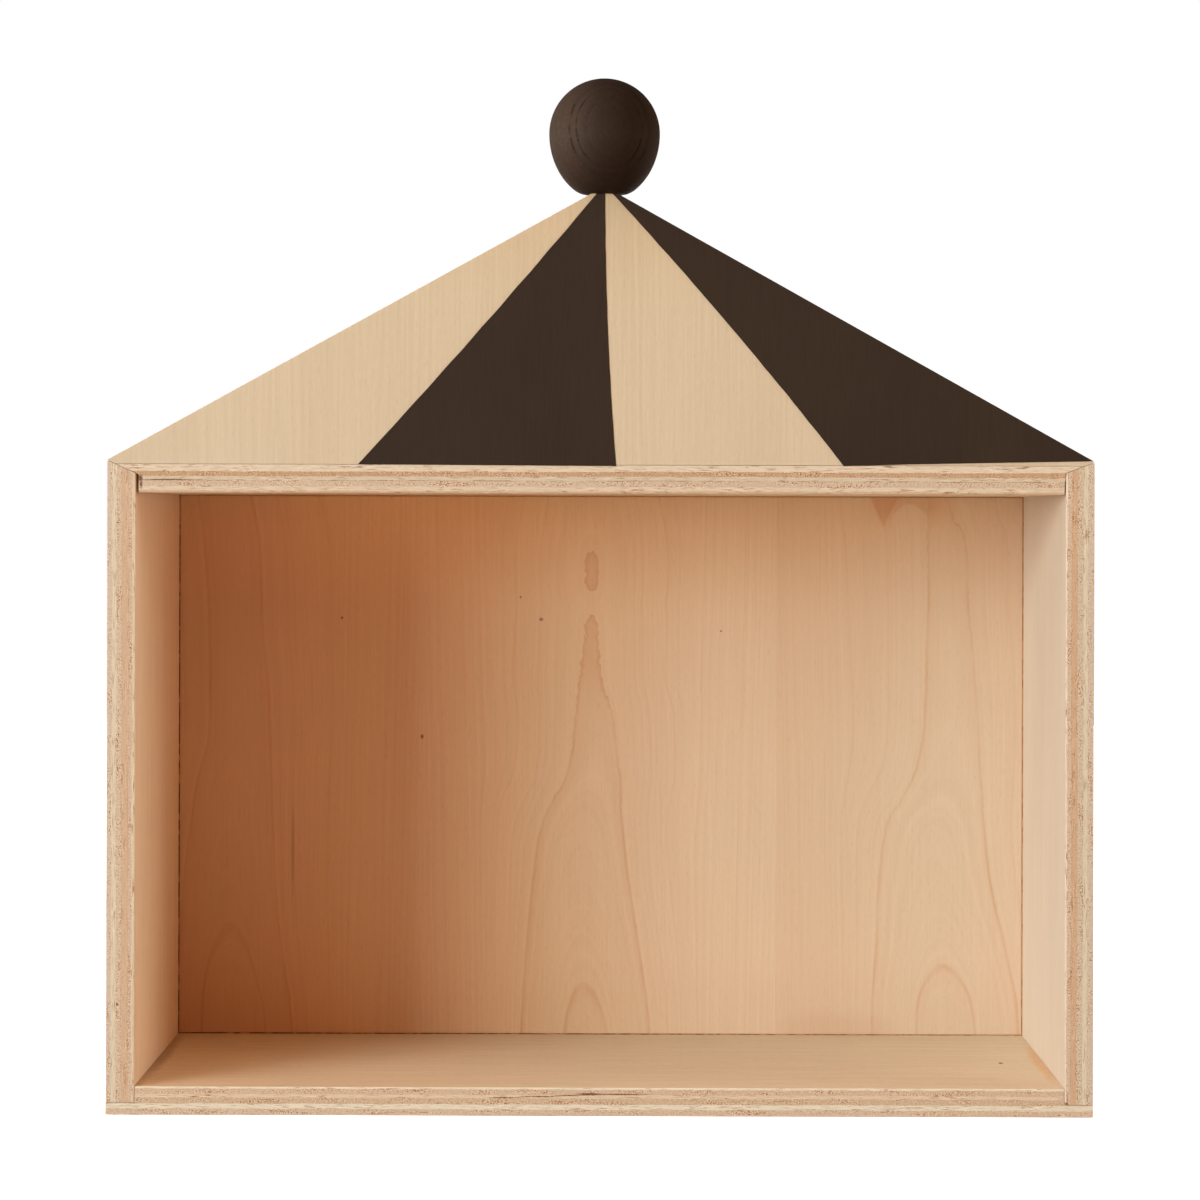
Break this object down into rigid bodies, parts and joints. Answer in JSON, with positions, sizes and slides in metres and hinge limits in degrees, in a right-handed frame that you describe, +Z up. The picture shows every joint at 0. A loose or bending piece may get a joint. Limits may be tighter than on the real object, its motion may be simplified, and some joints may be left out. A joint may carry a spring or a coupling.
{
  "type": "wall shelf",
  "caption": "Open plywood box shelf for a child's wall, with a striped circus-tent front standing on its top board and a painted ball on the peak.",
  "frame": {"origin": "middle of the underside of the box, half way between its front and rear edges", "axes": "+X to the right as seen from the front, +Y back to the wall, +Z up"},
  "size_m": [0.4, 0.1767, 0.4209],
  "materials": {
    "plywood": "satin",
    "plywood_back": "satin",
    "dark_paint": "matte",
    "painted_ball": "satin",
    "beech_dowel": "matte",
    "zinc_steel": "satin"
  },
  "bodies": {
    "root": {"left_side": "plywood", "right_side": "plywood", "top_board": "plywood", "bottom_board": "plywood", "back_panel": "plywood_back", "gable": "plywood", "paint_stripe_left": "dark_paint", "paint_stripe_right": "dark_paint", "gable_dowel_1": "beech_dowel", "gable_dowel_2": "beech_dowel", "gable_dowel_3": "beech_dowel", "finial_ball": "painted_ball", "finial_dowel": "beech_dowel", "left_hanger_plate": "zinc_steel", "right_hanger_plate": "zinc_steel", "left_hanger_screw_lower": "zinc_steel", "left_hanger_screw_upper": "zinc_steel", "right_hanger_screw_lower": "zinc_steel", "right_hanger_screw_upper": "zinc_steel"}
  },
  "joints": []
}
